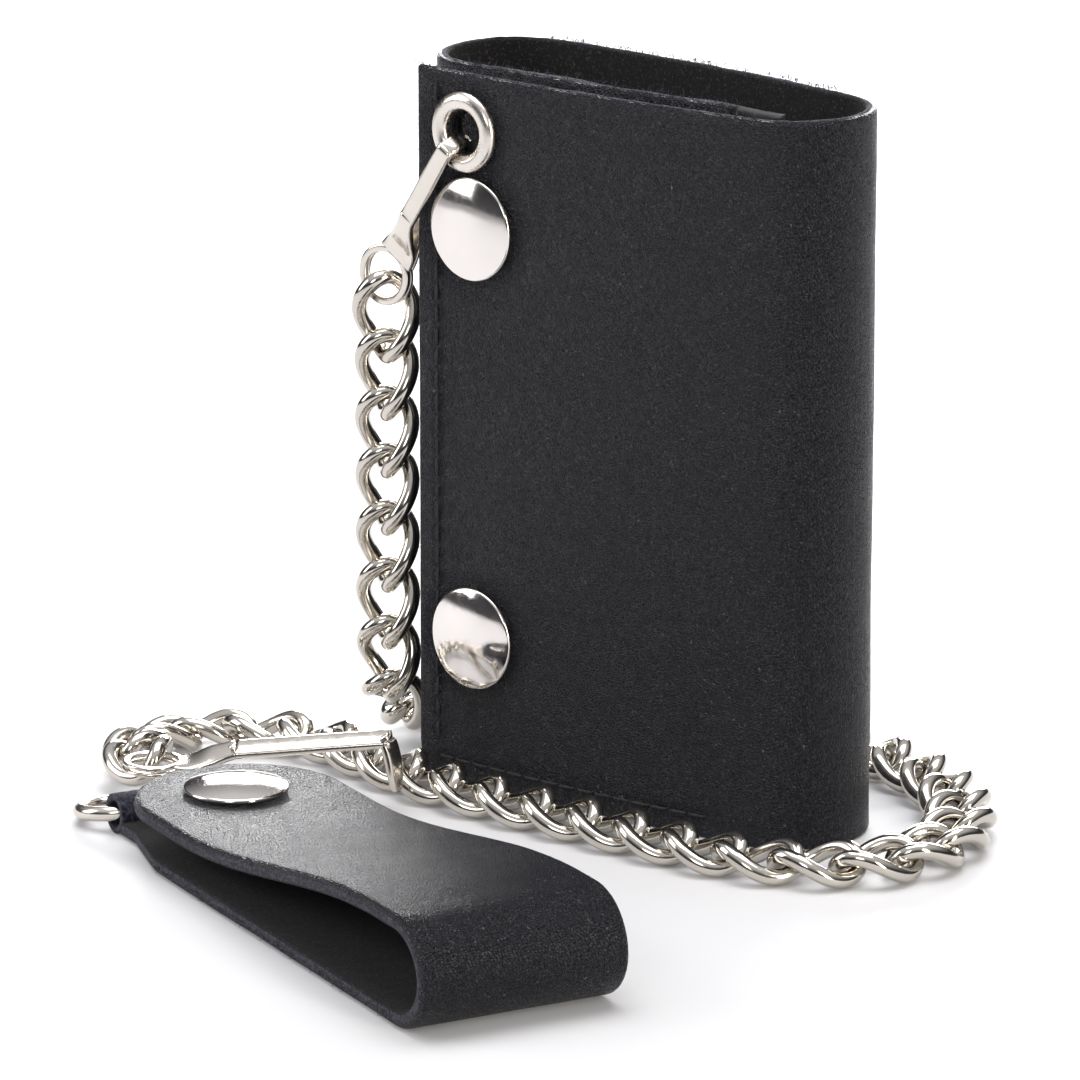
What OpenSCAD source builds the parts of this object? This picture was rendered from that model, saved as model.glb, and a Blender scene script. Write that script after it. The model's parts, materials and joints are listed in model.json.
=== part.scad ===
// Tri-fold chain wallet standing on its lower edge, with its curb chain,
// two sister-hook clips and a folded leather belt loop. Millimetres, +Z up.
// X runs from the flap's free edge to the main fold, Y from front to back.
// The origin is on the foot of the bill lining, at the middle of the base.

/* [Wallet] */
// Height of the wallet
wallet_h = 106; // [104:0.5:108]
// Thickness of the outer leather
leather_t = 1.8; // [1.4:0.1:2]
// Thickness of the linings and card pockets
lining_t = 0.9; // [0.7:0.1:1]
// Free edge of the front flap, left of the origin
flap_edge = 40; // [39:0.5:41]

/* [Snaps and eyelet] */
// Diameter of a snap cap
cap_d = 15.2; // [14:0.1:15.3]
// Height of a snap cap's dome
cap_h = 1.9; // [1.6:0.1:2.2]
// Height of the upper snap above the base
snap_high = 83.6; // [82:0.2:83.6]
// Height of the lower snap above the base
snap_low = 22.5; // [16:0.5:40]
// Outer diameter of the eyelet
eyelet_d = 11.9; // [11:0.1:12]
// Hole through the eyelet
eyelet_bore = 6.4; // [6:0.1:6.6]

/* [Chain] */
// Diameter of the chain wire
wire_d = 2.4; // [2.2:0.1:2.4]
// Distance from one link to the next
pitch = 8.7; // [8.7:0.05:8.8]
// Width of a link over its wire
link_w = 10.7; // [10.5:0.1:10.9]
// Turn of each end of a link about its length
link_twist = 45; // [42:1:48]

/* [Belt loop] */
// Width of the strap
strap_w = 31; // [29:0.5:31]
// Thickness of the strap
strap_t = 2.4; // [2:0.1:2.4]
// Height of the loop at its fold
loop_h = 16; // [15.5:0.5:16.5]
// Wire of the belt loop's ring
ring_wire = 2.2; // [2:0.1:2.4]

/* [Hidden] */
$fn = 48;

// the closed wallet's plan
flap_y = -9.8;
main_fold_x = 20;
main_fold = [20, 1.1, 11, 11.7];
left_fold = [-36, 6.6, 10, 11.4];
flap_bow = 1.4;
back_bow = 1.7;
inner_end = 13;
inner_y = -4.8;
inner_bow = 0.5;
bow_steps = 14;

// the snaps and the eyelet on the flap
snap_x = -29;
eyelet_x = -30.5;
eyelet_z = 97.6;
post_d = 3.8;
socket_d = 10;
socket_h = 1.5;
stud_base_d = 9;

// the chain
hanging = 6;
laid = 37;
rear_first = 9;
rear_run = 6;
rear_runs = 2;
hang_x = -48;
hang_y = -6.85;
hang_top = 67.15;
link_rings = 24;
link_sides = 8;
slack = 0.75;
lay_z = 2.9;
eye_z = 5.75;
// the laid chain's route, from under the hanging links round the wallet's foot
route = [
    [hang_x, hang_y, hang_top - pitch * (hanging - 0.5)], [-48.5, -6.2, 12.6], [-50, -2.2, 6.6],
    [-52, 5.5, 3.6], [-53.5, 14, lay_z], [-52, 22.5, lay_z], [-45.5, 29, lay_z],
    [-34, 32, lay_z], [-20, 32.5, lay_z], [-5, 32.5, lay_z], [9, 31.5, lay_z], [21, 28.5, lay_z],
    [32, 22.5, lay_z], [41, 13.5, lay_z], [46.5, 2, lay_z], [45.5, -9.5, lay_z], [38.5, -17.5, lay_z],
    [28, -21.5, lay_z], [15, -22, lay_z], [0, -21.5, lay_z], [-14, -21, lay_z], [-28, -20, lay_z],
    [-41, -17, lay_z], [-53, -13.5, lay_z], [-63, -14, lay_z], [-71, -19.5, lay_z], [-74.5, -28.5, lay_z + 0.4],
    [-72, -37.5, lay_z + 1.3], [-65, -43.5, lay_z + 2.4], [-56, -45, eye_z]
];
route_steps = 10;
// turn of the first and last link about its length, to pass straight through a clip's
// eye, and the number of links over which the last turn builds up
first_roll = -15;
last_roll = 18;
roll_links = 5;

// the clips: sheet and width of the arms, the eyes, and how they hang from the chain
clip_t = 0.7;
clip_w = 2.7;
eye_r = 4.6;
eye_bore_r = 3.4;
eye_gap = 0.2;
eye_lead = 2;
clip_eye = [hang_x, hang_y, hang_top + pitch / 2 + eye_lead];
clip_reach = norm([eyelet_x - clip_eye[0], eyelet_z - clip_eye[2]]);

// the belt loop's own frame: x from the tip to the fold, y across, z up
loop_place = [-27.2, -59.6, 0];
loop_turn = -24.5;
tongue_tip = -24;
loop_snap_x = -11;
fold_x = 69;
tab_end = -23.5;
tab_y = -9.5;
tab_w = 6;
keeper_r = 3;
keeper_bore_r = 1.95;
ring_r = 5.5;
ring_drop = 9.5;

// every link's own number, and the two runs behind the wallet that share a node
rear_last = rear_first + rear_run * rear_runs;
LINK_SETS = concat(
    [for (i = [0:rear_first - 1]) [i]],
    [for (r = [0:rear_runs - 1]) [for (k = [0:rear_run - 1]) rear_first + r * rear_run + k]],
    [for (i = [rear_last:hanging + laid - 1]) [i]]
);
function two_digits(n) = str(n < 10 ? "0" : "", n);
LINKS = [
    for (set = LINK_SETS)
        len(set) == 1 ? str("chain_link_", two_digits(set[0] + 1))
                      : str("chain_links_", two_digits(set[0] + 1), "_to_", set[len(set) - 1] + 1)
];

// ---- shapes that repeat ----

// points of a line from a to b that bows sideways by sag
function bow(a, b, sag, shift = 0) = [
    for (i = [0:bow_steps])
        let (s = i / bow_steps) a + (b - a) * s + [0, shift + 4 * sag * s * (1 - s)]
];

function reversed(list) = [for (i = [len(list) - 1:-1:0]) list[i]];

// a standing sheet of thickness t behind the bowed line from a to b
module sheet(a, b, sag, t, low, high) {
    translate([0, 0, low])
        linear_extrude(high - low)
            polygon(concat(bow(a, b, sag), reversed(bow(a, b, sag, t))));
}

function arc(c, rx, ry, from, to, steps = 18) = [
    for (i = [0:steps])
        let (a = from + (to - from) * i / steps) [c[0] + rx * cos(a), c[1] + ry * sin(a)]
];

// a standing half fold of thickness t around the centre of f = [x, y, rx, ry]
module fold(f, t, from, to, low, high) {
    translate([0, 0, low])
        linear_extrude(high - low)
            polygon(concat(
                arc(f, f[2], f[3], from, to),
                reversed(arc(f, f[2] - t, f[3] - t, from, to))
            ));
}

// front face of the bowed flap at x, and the angle of its surface there
function flap_s(x) = (x + flap_edge) / (main_fold_x + flap_edge);
function flap_at(x) =
    let (s = flap_s(x)) flap_y + (main_fold[1] - main_fold[3] - flap_y) * s - 4 * flap_bow * s * (1 - s);
function flap_angle(x) = atan((flap_at(x + 0.5) - flap_at(x - 0.5)));

// puts children on the flap's face: their +Z points out of the wallet
module on_flap(x, z) {
    translate([x, flap_at(x), z]) rotate([90, 0, flap_angle(x)]) children();
}

// domed snap cap with a rolled rim, on the plane z = 0
module dome_cap(d, h) {
    r = d / 2;
    rim = 0.5;
    bulge = h - rim;
    ball = (r * r + bulge * bulge) / (2 * bulge);
    translate([0, 0, 0.02]) cylinder(d = d - 0.4, h = rim);
    translate([0, 0, 0.02]) intersection() {
        translate([0, 0, h - ball]) sphere(ball, $fn = 96);
        cylinder(r = r, h = h);
    }
}

// sweep of a section along the points, closed at both ends
function sweep_points(path, across, out, section) = [
    for (i = [0:len(path) - 1]) for (p = section) path[i] + across[i] * p[0] + out[i] * p[1]
];
function wall_faces(rings, sides, closed) = [
    for (i = [0:rings - (closed ? 1 : 2)]) for (k = [0:sides - 1])
        let (a = i * sides, b = ((i + 1) % rings) * sides, n = (k + 1) % sides)
            [a + k, b + k, b + n, a + n]
];

function unit(v) = v / norm(v);

// ---- leather ----

module front_flap() {
    color([0.10, 0.10, 0.12]) difference() {
        sheet([-flap_edge, flap_y], [main_fold_x, main_fold[1] - main_fold[3]], -flap_bow, leather_t, 0, wallet_h);
        for (z = [snap_low, snap_high])
            on_flap(snap_x, z) translate([0, 0, -5]) cylinder(d = post_d + 0.2, h = 10);
        on_flap(eyelet_x, eyelet_z) translate([0, 0, -5]) cylinder(d = eyelet_bore + 1.2, h = 10);
    }
}

// a sheet that follows the inside of the flap, from depth to depth + t behind its face
module flap_layer(from, to, depth, t, low, high) {
    xs = [for (i = [0:bow_steps]) from + (to - from) * i / bow_steps];
    translate([0, 0, low])
        linear_extrude(high - low)
            polygon(concat([for (x = xs) [x, flap_at(x) + depth]], [for (x = reversed(xs)) [x, flap_at(x) + depth + t]]));
}

module flap_lining() {
    color([0.14, 0.13, 0.13]) difference() {
        flap_layer(1 - flap_edge, inner_end + 1, leather_t + 0.03, lining_t, 2, wallet_h - 0.6);
        for (z = [snap_low, snap_high])
            on_flap(snap_x, z) translate([0, 0, -5]) cylinder(d = post_d + 0.2, h = 10);
        on_flap(eyelet_x, eyelet_z) translate([0, 0, -5]) cylinder(d = eyelet_bore + 1.2, h = 10);
    }
}

module flap_card_pocket() {
    color([0.12, 0.12, 0.13])
        flap_layer(-18, inner_end, leather_t + lining_t + 0.06, lining_t, 2, wallet_h * 0.72);
}

module main_fold_strip() {
    color([0.10, 0.10, 0.12]) fold(main_fold, leather_t, -90, 90, 0, wallet_h);
}

module back_panel() {
    color([0.10, 0.10, 0.12])
        sheet([left_fold[0], left_fold[1] + left_fold[3] - leather_t],
              [main_fold_x, main_fold[1] + main_fold[3] - leather_t], back_bow, leather_t, 0, wallet_h);
}

// lining of the bill compartment, with its foot turned back and sewn to the back panel
module bill_lining() {
    color([0.14, 0.13, 0.13]) {
        translate([-34, -lining_t / 2, 0]) cube([52, lining_t, wallet_h - 1]);
        linear_extrude(lining_t)
            polygon(concat([[18, 0], [-34, 0]],
                [for (p = bow([left_fold[0], left_fold[1] + left_fold[3] - leather_t],
                              [main_fold_x, main_fold[1] + main_fold[3] - leather_t], back_bow))
                    if (p[0] >= -34 && p[0] <= 18) p]));
    }
}

module card_pocket_low() {
    color([0.12, 0.12, 0.13]) translate([-32, -1.5 * lining_t - 0.05, 1.5]) cube([48, lining_t, wallet_h * 0.62]);
}

module card_pocket_high() {
    color([0.12, 0.12, 0.13]) translate([-32, -2.5 * lining_t - 0.1, 1.5]) cube([48, lining_t, wallet_h * 0.5]);
}

module left_fold_strip() {
    color([0.10, 0.10, 0.12]) fold(left_fold, leather_t, 90, 270, 0, wallet_h);
}

// front face of the folded-in third panel at x
function inner_at(x) =
    let (s = (x - left_fold[0]) / (inner_end - left_fold[0])) inner_y - 0.6 * s - 4 * inner_bow * s * (1 - s);

module inner_panel() {
    color([0.10, 0.10, 0.12])
        sheet([left_fold[0], inner_y], [inner_end, inner_y - 0.6], -inner_bow, leather_t, 0, wallet_h);
}

module inner_lining() {
    color([0.14, 0.13, 0.13])
        sheet([left_fold[0] + 2, inner_y + leather_t], [inner_end - 1, inner_y - 0.5 + leather_t + 0.04], -0.38, 0.6, 2, wallet_h - 1.2);
}

// ---- snaps and eyelet ----

module snap_caps() {
    color([0.86, 0.84, 0.80]) for (z = [snap_low, snap_high])
        on_flap(snap_x, z) {
            dome_cap(cap_d, cap_h);
            translate([0, 0, -leather_t - lining_t - 0.3]) cylinder(d = post_d, h = leather_t + lining_t + 0.4);
        }
}

module snap_sockets() {
    color([0.78, 0.76, 0.72]) for (z = [snap_low, snap_high])
        on_flap(snap_x, z) translate([0, 0, -leather_t - lining_t - 0.1 - socket_h])
            difference() {
                cylinder(d = socket_d, h = socket_h);
                translate([0, 0, -1]) cylinder(d = post_d + 0.6, h = socket_h + 2);
            }
}

module snap_studs() {
    color([0.78, 0.76, 0.72]) for (z = [snap_low, snap_high])
        translate([snap_x, inner_at(snap_x) - 0.02, z]) rotate([90, 0, atan(inner_at(snap_x + 0.5) - inner_at(snap_x - 0.5))]) {
            cylinder(d = stud_base_d, h = 0.5);
            cylinder(d = 2.8, h = 1.2);
        }
}

module eyelet_barrel() {
    color([0.82, 0.79, 0.74]) on_flap(eyelet_x, eyelet_z) difference() {
        union() {
            translate([0, 0, -leather_t - lining_t - 0.5]) cylinder(d = eyelet_bore + 1, h = leather_t + lining_t + 1);
            translate([0, 0, 0.03]) intersection() {
                cylinder(d = eyelet_d, h = 1.1);
                rotate_extrude()
                    translate([(eyelet_d + eyelet_bore) / 4, 0.1]) scale([1.42, 1]) circle(1);
            }
        }
        translate([0, 0, -5]) cylinder(d = eyelet_bore, h = 10);
    }
}

module eyelet_washer() {
    color([0.82, 0.79, 0.74]) on_flap(eyelet_x, eyelet_z)
        translate([0, 0, -leather_t - lining_t - 0.75]) difference() {
            cylinder(d = eyelet_d - 0.6, h = 0.5);
            translate([0, 0, -1]) cylinder(d = eyelet_bore + 1.04, h = 3);
        }
}

// ---- chain ----

// centre line of a curb link: an oval whose two ends turn opposite ways about its length
function link_at(u) =
    let (
        half = (pitch + wire_d + slack) / 2,
        x = half * cos(u),
        y = (link_w - wire_d) / 2 * sin(u),
        turn = link_twist * x / half
    ) [x, y * cos(turn), y * sin(turn)];

module curb_link() {
    path = [for (i = [0:link_rings - 1]) link_at(360 * i / link_rings)];
    along = [for (i = [0:link_rings - 1]) unit(link_at(360 * i / link_rings + 1) - link_at(360 * i / link_rings - 1))];
    out = [for (i = [0:link_rings - 1]) unit(path[i] - along[i] * (path[i] * along[i]))];
    side = [for (i = [0:link_rings - 1]) cross(along[i], out[i])];
    section = [for (k = [0:link_sides - 1]) wire_d / 2 * [cos(360 * k / link_sides), -sin(360 * k / link_sides)]];
    polyhedron(sweep_points(path, side, out, section), wall_faces(link_rings, link_sides, true), convexity = 6);
}

// the route as a smooth curve through its points, and the length run at each sample
function smooth(p, i, t) =
    let (a = p[max(i - 1, 0)], b = p[i], c = p[i + 1], d = p[min(i + 2, len(p) - 1)])
        0.5 * (2 * b + (c - a) * t + (2 * a - 5 * b + 4 * c - d) * t * t + (3 * b - a - 3 * c + d) * t * t * t);
trail = [
    for (i = [0:len(route) - 2]) for (k = [0:route_steps - 1]) smooth(route, i, k / route_steps)
];
run = [
    for (i = 0, s = 0; i < len(trail); s = s + (i + 1 < len(trail) ? norm(trail[i + 1] - trail[i]) : 0), i = i + 1) s
];
function on_trail(s) =
    let (i = max([for (k = [0:len(run) - 2]) if (run[k] <= s) k]), t = (s - run[i]) / (run[i + 1] - run[i]))
        trail[i] + (trail[i + 1] - trail[i]) * t;

// puts children along the line from a to b, with their +Y towards side
module along_line(a, b, side) {
    x = unit(b - a);
    z = unit(cross(x, side));
    y = cross(z, x);
    c = (a + b) / 2;
    multmatrix([
        [x[0], y[0], z[0], c[0]],
        [x[1], y[1], z[1], c[1]],
        [x[2], y[2], z[2], c[2]]
    ]) children();
}

module chain_link(i) {
    color([0.80, 0.78, 0.74])
        if (i < hanging) {
            top = [hang_x, hang_y, hang_top - pitch * i + pitch / 2];
            along_line(top, top - [0, 0, pitch], [1, 0, 0]) rotate([i == 0 ? first_roll : 0, 0, 0]) curb_link();
        } else {
            k = i - hanging;
            a = on_trail(k * pitch);
            b = on_trail((k + 1) * pitch);
            level = cross(b - a, [0, 0, 1]);
            along_line(a, b, k < 2 ? [1, 0, 0] : level)
                rotate([last_roll * max(0, 1 - (laid - 1 - k) / roll_links), 0, 0]) curb_link();
        }
}

// ---- clips ----

// flat strip through the path, its width along `wide`
module strip(path, wide, widths, t) {
    n = len(path);
    along = [for (i = [0:n - 1]) unit(path[min(i + 1, n - 1)] - path[max(i - 1, 0)])];
    face = [for (i = [0:n - 1]) unit(cross(along[i], wide))];
    side = [for (i = [0:n - 1]) unit(cross(face[i], along[i]))];
    points = [
        for (i = [0:n - 1]) for (c = [[-1, -1], [1, -1], [1, 1], [-1, 1]])
            path[i] + side[i] * c[0] * widths[i] / 2 + face[i] * c[1] * t / 2
    ];
    ends = [[0, 1, 2, 3], [4 * n - 1, 4 * n - 2, 4 * n - 3, 4 * n - 4]];
    polyhedron(points, concat(wall_faces(n, 4, false), ends), convexity = 6);
}

// one half of a clip: its eye at the origin, its arm along +x, off the eye's plane by
// `kink` and then `rise`, and its hook tip turned back by `hook` at `reach`
module clip_half(reach, kink, rise, hook, w = clip_w) {
    difference() {
        cylinder(r = eye_r, h = clip_t, center = true);
        cylinder(r = eye_bore_r, h = 4, center = true);
    }
    strip(
        [[eye_r - 1, 0, 0], [eye_r + 1.2, 0, 0.04 * kink], [eye_r + 3.8, 0, 0.45 * kink], [eye_r + 7.4, 0, kink],
         [reach - 4.4, 0, rise], [reach - 3.2, 0, rise - 0.03 * hook], [reach - 2.3, 0, rise - 0.42 * hook],
         [reach - 1.8, 0, rise - hook]],
        [0, 1, 0], [4.2, w + 1, w, w, w, 0.9 * w, 0.8 * w, 0.7 * w], clip_t
    );
}

// puts children at a with +X towards b, and +Y as near to side as it can be
module aimed(a, b, side) {
    along_line(2 * a - b, b, side) children();
}

eye_step = (clip_t + eye_gap) / 2;

module wallet_clip_front() {
    eye = clip_eye - [0, eye_step, 0];
    color([0.84, 0.82, 0.78]) aimed(eye, [eyelet_x, eye[1], eyelet_z], [-1, 0, 1])
        clip_half(clip_reach, 3.6, 5.3, 3.1);
}

module wallet_clip_rear() {
    eye = clip_eye + [0, eye_step, 0];
    color([0.84, 0.82, 0.78]) aimed(eye, [eyelet_x, eye[1], eyelet_z], [-1, 0, 1])
        clip_half(clip_reach, 0, 0, -2.1);
}

trail_end = on_trail(laid * pitch);
belt_clip_eye = trail_end + eye_lead * unit(trail_end - on_trail((laid - 1) * pitch));
belt_clip_aim = [24.5, 14.2, 0];

module belt_clip_upper() {
    eye = belt_clip_eye + [0, 0, eye_step];
    color([0.84, 0.82, 0.78]) aimed(eye, eye + belt_clip_aim, [-0.55, 0.83, 0])
        clip_half(37.5, 2.2, 4.6, 7.6, 3.6);
}

module belt_clip_lower() {
    eye = belt_clip_eye - [0, 0, eye_step];
    color([0.84, 0.82, 0.78]) aimed(eye, eye + belt_clip_aim, [-0.55, 0.83, 0])
        clip_half(30, -2.6, -3.9, 0.3, 3.2);
}

// ---- belt loop ----

module in_loop() {
    translate(loop_place) rotate([0, 0, loop_turn]) children();
}

// height of the tongue's upper face at x, from its tip to the fold
function tongue_top(x) =
    let (s = min(max((x - 2) / 62, 0), 1)) 8.8 + (loop_h - 8.8) * s * s * (3 - 2 * s);

module loop_base() {
    color([0.12, 0.12, 0.14]) in_loop() {
        linear_extrude(strap_t) polygon([
            [fold_x, -strap_w / 2], [fold_x, strap_w / 2], [-2, strap_w / 2], [-10, strap_w / 2 - 5],
            [-16.5, tab_y + 7], [-19, tab_y + tab_w / 2], [tab_end, tab_y + tab_w / 2], [tab_end, tab_y - tab_w / 2],
            [-18.5, tab_y - tab_w / 2], [-6, -strap_w / 2]
        ]);
        translate([tab_end - keeper_bore_r, tab_y, keeper_r]) rotate([90, 0, 0]) difference() {
            cylinder(r = keeper_r, h = tab_w, center = true);
            cylinder(r = keeper_bore_r, h = tab_w + 1, center = true);
        }
    }
}

module loop_fold() {
    r = loop_h / 2;
    color([0.12, 0.12, 0.14]) in_loop() translate([fold_x, 0, r]) rotate([90, 0, 0])
        translate([0, 0, -strap_w / 2]) linear_extrude(strap_w)
            polygon(concat(arc([0, 0], r + 1, r, -90, 90), reversed(arc([0, 0], r + 1 - strap_t, r - strap_t, -90, 90))));
}

module loop_tongue() {
    xs = [for (i = [0:22]) tongue_tip + (fold_x - tongue_tip) * i / 22];
    color([0.12, 0.12, 0.14]) in_loop() difference() {
        intersection() {
            rotate([90, 0, 0]) translate([0, 0, -strap_w / 2]) linear_extrude(strap_w)
                polygon(concat([for (x = xs) [x, tongue_top(x)]], [for (x = reversed(xs)) [x, tongue_top(x) - strap_t]]));
            translate([0, 0, -1]) linear_extrude(40) union() {
                translate([tongue_tip + strap_w / 2, 0]) circle(d = strap_w, $fn = 96);
                translate([tongue_tip + strap_w / 2, -strap_w / 2]) square([fold_x - tongue_tip, strap_w]);
            }
        }
        translate([loop_snap_x, 0, 0]) cylinder(d = post_d + 0.2, h = 40);
    }
}

module loop_cap() {
    color([0.86, 0.84, 0.80]) in_loop() translate([loop_snap_x, 0, tongue_top(loop_snap_x)]) {
        dome_cap(cap_d, cap_h);
        translate([0, 0, -strap_t - 0.3]) cylinder(d = post_d, h = strap_t + 0.4);
    }
}

module loop_socket() {
    color([0.78, 0.76, 0.72]) in_loop() translate([loop_snap_x, 0, tongue_top(loop_snap_x) - strap_t - 0.05 - socket_h])
        difference() {
            cylinder(d = socket_d, h = socket_h);
            translate([0, 0, -1]) cylinder(d = post_d + 0.6, h = socket_h + 2);
        }
}

module loop_stud() {
    color([0.78, 0.76, 0.72]) in_loop() translate([loop_snap_x, 0, strap_t]) {
        cylinder(d = stud_base_d, h = 1.2);
        cylinder(d = 2.8, h = 3);
    }
}

module loop_ring() {
    color([0.82, 0.80, 0.76]) in_loop() translate([tab_end - keeper_bore_r + 0.35, tab_y, keeper_r])
        rotate([0, -ring_drop, 0]) translate([-ring_r, 0, 0])
            rotate_extrude() translate([ring_r, 0]) circle(d = ring_wire);
}

front_flap();
flap_lining();
flap_card_pocket();
main_fold_strip();  // main_fold
back_panel();
bill_lining();
card_pocket_low();
card_pocket_high();
left_fold_strip();  // left_fold
inner_panel();
inner_lining();
snap_caps();
snap_sockets();
snap_studs();
eyelet_barrel();
eyelet_washer();
wallet_clip_front();
wallet_clip_rear();
belt_clip_upper();
belt_clip_lower();
loop_base();
loop_fold();
loop_tongue();
loop_cap();
loop_socket();
loop_stud();
loop_ring();
for (n = [0:len(LINKS) - 1])
    for (i = LINK_SETS[n]) chain_link(i);
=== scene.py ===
# Black tri-fold chain wallet: leather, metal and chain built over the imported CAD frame.
import json
import math
import random

import bmesh
import bpy
import numpy as np
from mathutils import Matrix, Vector, noise


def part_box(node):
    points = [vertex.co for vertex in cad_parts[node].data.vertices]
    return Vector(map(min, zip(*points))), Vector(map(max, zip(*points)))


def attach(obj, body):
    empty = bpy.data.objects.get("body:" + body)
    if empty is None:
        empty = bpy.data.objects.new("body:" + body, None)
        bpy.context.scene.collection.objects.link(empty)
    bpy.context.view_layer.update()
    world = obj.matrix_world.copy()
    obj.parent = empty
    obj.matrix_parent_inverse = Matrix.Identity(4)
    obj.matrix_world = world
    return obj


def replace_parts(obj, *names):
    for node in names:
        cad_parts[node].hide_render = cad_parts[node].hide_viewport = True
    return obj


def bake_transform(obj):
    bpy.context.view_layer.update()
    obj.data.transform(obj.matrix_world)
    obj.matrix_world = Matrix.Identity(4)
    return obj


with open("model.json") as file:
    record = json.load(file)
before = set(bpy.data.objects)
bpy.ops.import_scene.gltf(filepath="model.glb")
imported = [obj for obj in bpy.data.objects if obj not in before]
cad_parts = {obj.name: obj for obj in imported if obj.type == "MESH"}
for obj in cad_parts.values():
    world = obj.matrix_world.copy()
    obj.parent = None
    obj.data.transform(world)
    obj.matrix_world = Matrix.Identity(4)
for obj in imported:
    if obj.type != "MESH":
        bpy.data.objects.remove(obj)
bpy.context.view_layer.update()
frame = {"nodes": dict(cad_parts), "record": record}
random.seed(7)
MM = 0.001


def span(node):
    """(low, high) of a CAD node in millimetres."""
    low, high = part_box(node)
    return Vector(low) / MM, Vector(high) / MM


def body_of(node):
    """The body that a CAD node moves with."""
    for body, nodes in frame["record"]["behaviour"]["bodies"].items():
        if node in nodes:
            return body


# ---- camera, lights and floor ----

def make_camera():
    """The photograph's long lens, 36.5 degrees round from the front and 15 up."""
    data = bpy.data.cameras.new("camera")
    data.lens = 253.3
    data.sensor_width = 36
    data.clip_start = 0.05
    cam = bpy.data.objects.new("camera", data)
    bpy.context.scene.collection.objects.link(cam)
    azimuth, elevation = math.radians(36.5), math.radians(14.89)
    distance, aim_left, aim_down = 1.09123, 0.01811, 0.009083
    wallet_middle = Vector((0, 0, 0.05))
    forward = Vector((-math.sin(azimuth) * math.cos(elevation), math.cos(azimuth) * math.cos(elevation),
                      -math.sin(elevation)))
    right = Vector((math.cos(azimuth), math.sin(azimuth), 0))
    up = right.cross(forward)
    cam.location = wallet_middle - forward * distance
    aim = (forward - right * aim_left - up * aim_down).normalized()
    side = aim.cross(Vector((0, 0, 1))).normalized()
    top = side.cross(aim)
    turn = Matrix((side, top, -aim)).transposed()
    cam.matrix_world = Matrix.Translation(cam.location) @ turn.to_4x4()
    bpy.context.scene.camera = cam


make_camera()


def area_light(name, place, target, size, power, tint=(1, 1, 1)):
    """A soft rectangular light at place, turned to the target."""
    data = bpy.data.lights.new(name, "AREA")
    data.shape, data.size, data.size_y = "RECTANGLE", size[0], size[1]
    data.energy, data.color = power, tint
    obj = bpy.data.objects.new(name, data)
    bpy.context.scene.collection.objects.link(obj)
    obj.location = place
    obj.rotation_euler = (Vector(target) - Vector(place)).to_track_quat("-Z", "Y").to_euler()


def make_studio():
    """A pale floor and a soft, graded sky with five area lights."""
    world = bpy.data.worlds.new("studio")
    world.use_nodes = True
    tree = world.node_tree
    sky = tree.nodes.new("ShaderNodeTexCoord")
    height = tree.nodes.new("ShaderNodeSeparateXYZ")
    shade = tree.nodes.new("ShaderNodeValToRGB")
    tree.links.new(sky.outputs["Generated"], height.inputs[0])
    tree.links.new(height.outputs["Z"], shade.inputs["Fac"])
    tree.links.new(shade.outputs["Color"], tree.nodes["Background"].inputs[0])
    ramp = shade.color_ramp
    ramp.elements[0].position, ramp.elements[0].color = 0.0, (0.10, 0.10, 0.11, 1)
    ramp.elements[1].position, ramp.elements[1].color = 1.0, (1, 1, 1, 1)
    for place, grey in ((0.26, 0.05), (0.48, 0.38), (0.72, 0.90)):
        ramp.elements.new(place).color = (grey, grey, grey * 1.02, 1)
    tree.nodes["Background"].inputs[1].default_value = 0.75
    bpy.context.scene.world = world
    bpy.context.scene.view_settings.view_transform = "Standard"
    centre = (0, -0.02, 0.04)
    area_light("overhead", (-0.05, 0.05, 0.95), centre, (0.9, 0.7), 9)
    area_light("left_soft", (-0.75, -0.55, 0.45), centre, (0.45, 0.6), 3.6)
    area_light("right_strip", (0.82, -0.28, 0.27), centre, (0.12, 0.5), 4.2, (1, 0.93, 0.78))
    area_light("back_sheen", (-0.50, 0.80, 0.30), (0, -0.08, 0.01), (0.6, 0.3), 11)
    area_light("front_fill", (0.35, -0.9, 0.5), centre, (0.3, 0.3), 1.6)
    floor = bpy.data.meshes.new("floor")
    reach = 3.0
    floor.from_pydata([(-reach, -reach, 0), (reach, -reach, 0), (reach, reach, 0), (-reach, reach, 0)],
                      [], [(0, 1, 2, 3)])
    obj = bpy.data.objects.new("floor", floor)
    bpy.context.scene.collection.objects.link(obj)
    mat = bpy.data.materials.new("floor")
    mat.use_nodes = True
    shader = mat.node_tree.nodes["Principled BSDF"]
    shader.inputs["Base Color"].default_value = (0.56, 0.556, 0.575, 1)
    shader.inputs["Roughness"].default_value = 0.7
    shader.inputs["Emission Color"].default_value = (1, 1, 1, 1)
    shader.inputs["Emission Strength"].default_value = 0.09
    floor.materials.append(mat)


make_studio()


# ---- materials ----

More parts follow.
